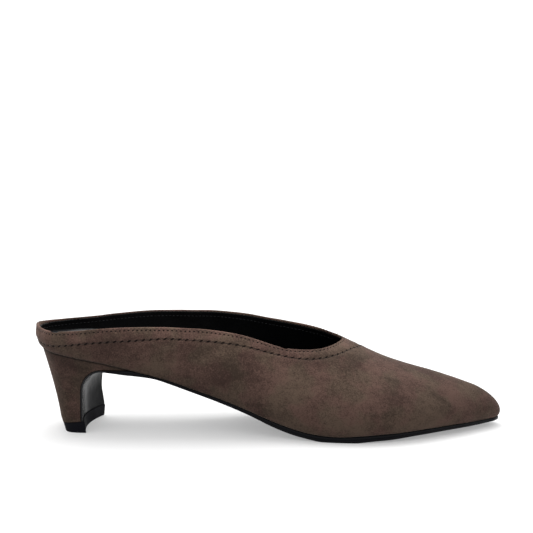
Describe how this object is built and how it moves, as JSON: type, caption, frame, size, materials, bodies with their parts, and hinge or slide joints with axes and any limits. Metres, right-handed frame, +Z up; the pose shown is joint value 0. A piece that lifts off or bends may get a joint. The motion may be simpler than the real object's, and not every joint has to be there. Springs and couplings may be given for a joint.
{
  "type": "heeled mule",
  "caption": "Pointed-toe suede mule with a low closed back, a short covered heel and a thin leather sole, for the right foot.",
  "frame": {"origin": "on the floor, under the middle of the whole shoe", "axes": "+X from the heel to the toe, -Y towards the shoe's outer (lateral) side, +Z up"},
  "size_m": [0.2602, 0.0784, 0.0615],
  "materials": {
    "suede": "matt brown-taupe suede with a short nap",
    "board": "matt fibre board, covered by the sock",
    "sock": "smooth black leather with a soft gloss",
    "sole": "black leather with a soft gloss",
    "top_piece": "matt black rubber"
  },
  "bodies": {
    "root": {"upper": "suede", "insole": "board", "sock": "sock", "outsole": "sole", "heel": "suede", "top_piece": "top_piece"}
  },
  "joints": []
}
